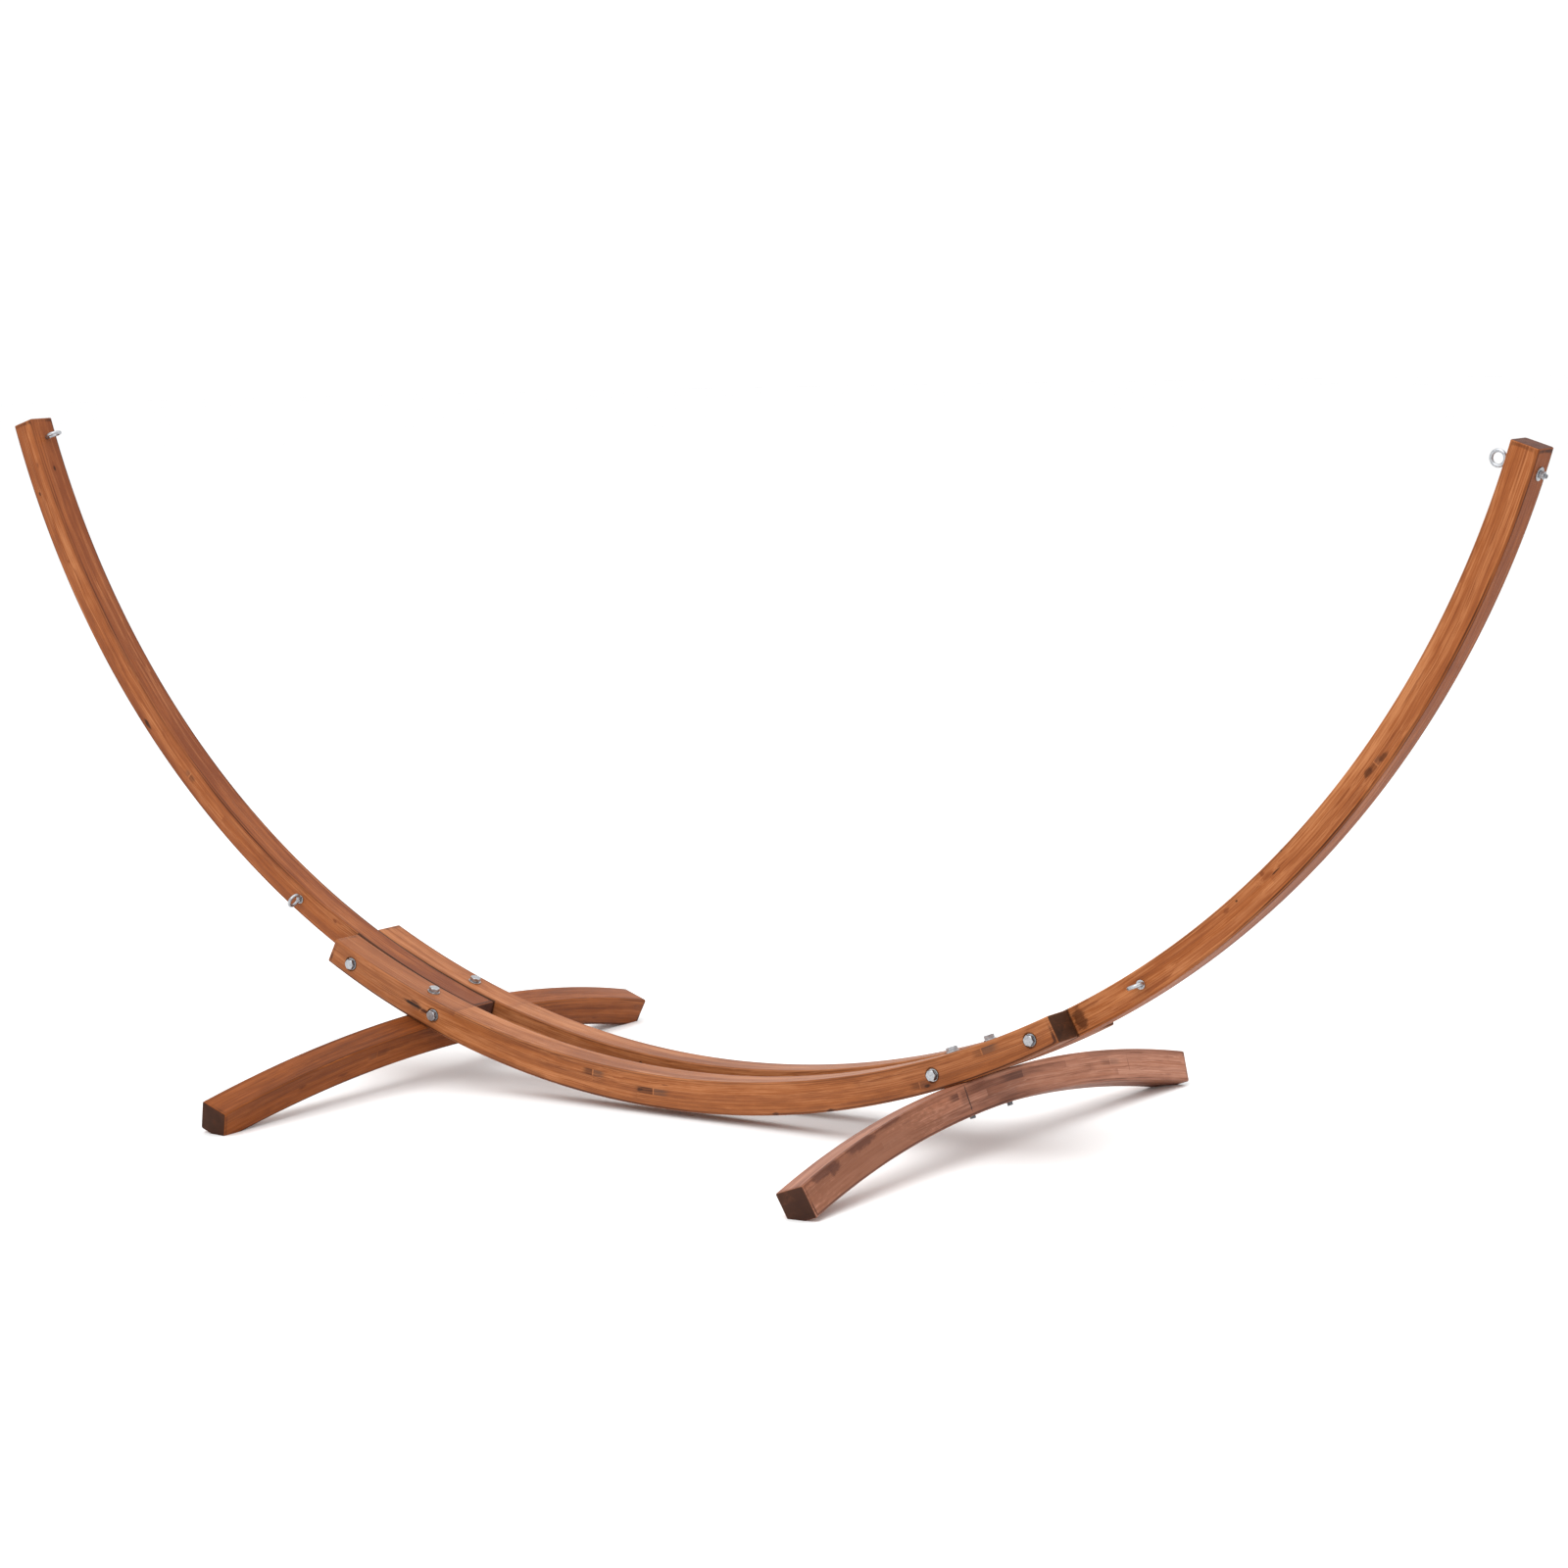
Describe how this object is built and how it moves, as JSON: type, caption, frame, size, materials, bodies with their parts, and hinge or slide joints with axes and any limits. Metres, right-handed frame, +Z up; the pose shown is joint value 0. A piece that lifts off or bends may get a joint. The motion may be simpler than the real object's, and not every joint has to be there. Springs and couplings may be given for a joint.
{
  "type": "hammock stand",
  "caption": "Curved wooden bow stand for a hammock: long arms bolted between paired rails over arched cross feet, with a swivelling eye bolt at each tip.",
  "frame": {"origin": "on the floor, under the middle of the stand", "axes": "+X along the stand towards the right arm tip, -Y towards the front, where the bolt heads are, +Z up"},
  "size_m": [3.538, 1.317, 1.3191],
  "materials": {
    "stained_wood": "satin reddish-brown stain on laminated softwood",
    "foot_wood": "satin reddish-brown stain, slightly greyer than the arms",
    "zinc_steel": "bright zinc plating"
  },
  "bodies": {
    "frame": {"front_rail": "stained_wood", "rear_rail": "stained_wood", "left_arm": "stained_wood", "right_arm": "stained_wood", "left_foot": "foot_wood", "right_foot": "foot_wood", "left_front_foot_bolt": "zinc_steel", "left_front_foot_bolt_head_washer": "zinc_steel", "left_front_foot_bolt_nut": "zinc_steel", "left_front_foot_bolt_nut_washer": "zinc_steel", "left_inner_through_bolt": "zinc_steel", "left_inner_through_bolt_head_washer": "zinc_steel", "left_inner_through_bolt_nut": "zinc_steel", "left_inner_through_bolt_nut_washer": "zinc_steel", "left_lower_eye_front_washer": "zinc_steel", "left_lower_eye_rear_washer": "zinc_steel", "left_outer_through_bolt": "zinc_steel", "left_outer_through_bolt_head_washer": "zinc_steel", "left_outer_through_bolt_nut": "zinc_steel", "left_outer_through_bolt_nut_washer": "zinc_steel", "left_rear_foot_bolt": "zinc_steel", "left_rear_foot_bolt_head_washer": "zinc_steel", "left_rear_foot_bolt_nut": "zinc_steel", "left_rear_foot_bolt_nut_washer": "zinc_steel", "left_tip_eye_washer": "zinc_steel", "right_front_foot_bolt": "zinc_steel", "right_front_foot_bolt_head_washer": "zinc_steel", "right_front_foot_bolt_nut": "zinc_steel", "right_front_foot_bolt_nut_washer": "zinc_steel", "right_inner_through_bolt": "zinc_steel", "right_inner_through_bolt_head_washer": "zinc_steel", "right_inner_through_bolt_nut": "zinc_steel", "right_inner_through_bolt_nut_washer": "zinc_steel", "right_lower_eye_front_washer": "zinc_steel", "right_lower_eye_rear_washer": "zinc_steel", "right_outer_through_bolt": "zinc_steel", "right_outer_through_bolt_head_washer": "zinc_steel", "right_outer_through_bolt_nut": "zinc_steel", "right_outer_through_bolt_nut_washer": "zinc_steel", "right_rear_foot_bolt": "zinc_steel", "right_rear_foot_bolt_head_washer": "zinc_steel", "right_rear_foot_bolt_nut": "zinc_steel", "right_rear_foot_bolt_nut_washer": "zinc_steel", "right_tip_eye_washer": "zinc_steel"},
    "left_lower_eye": {"left_lower_eye_bolt": "zinc_steel", "left_lower_eye_rear_nut": "zinc_steel"},
    "left_tip_eye": {"left_tip_eye_bolt": "zinc_steel", "left_tip_eye_nut": "zinc_steel"},
    "right_lower_eye": {"right_lower_eye_bolt": "zinc_steel", "right_lower_eye_rear_nut": "zinc_steel"},
    "right_tip_eye": {"right_tip_eye_bolt": "zinc_steel", "right_tip_eye_nut": "zinc_steel"}
  },
  "joints": [
    {"name": "right_tip_eye_swivel", "type": "hinge", "parent": "frame", "child": "right_tip_eye", "pos_m": [1.67965, 0, 1.28544], "axis": [-0.9466, 0, 0.3223], "continuous": true},
    {"name": "left_tip_eye_swivel", "type": "hinge", "parent": "frame", "child": "left_tip_eye", "pos_m": [-1.67965, 0, 1.28544], "axis": [0.9466, 0, 0.3223], "continuous": true},
    {"name": "right_lower_eye_swivel", "type": "hinge", "parent": "frame", "child": "right_lower_eye", "pos_m": [1.00058, -0.0491, 0.33881], "axis": [0, -1, 0], "continuous": true},
    {"name": "left_lower_eye_swivel", "type": "hinge", "parent": "frame", "child": "left_lower_eye", "pos_m": [-1.00058, -0.0491, 0.33881], "axis": [0, -1, 0], "continuous": true}
  ]
}
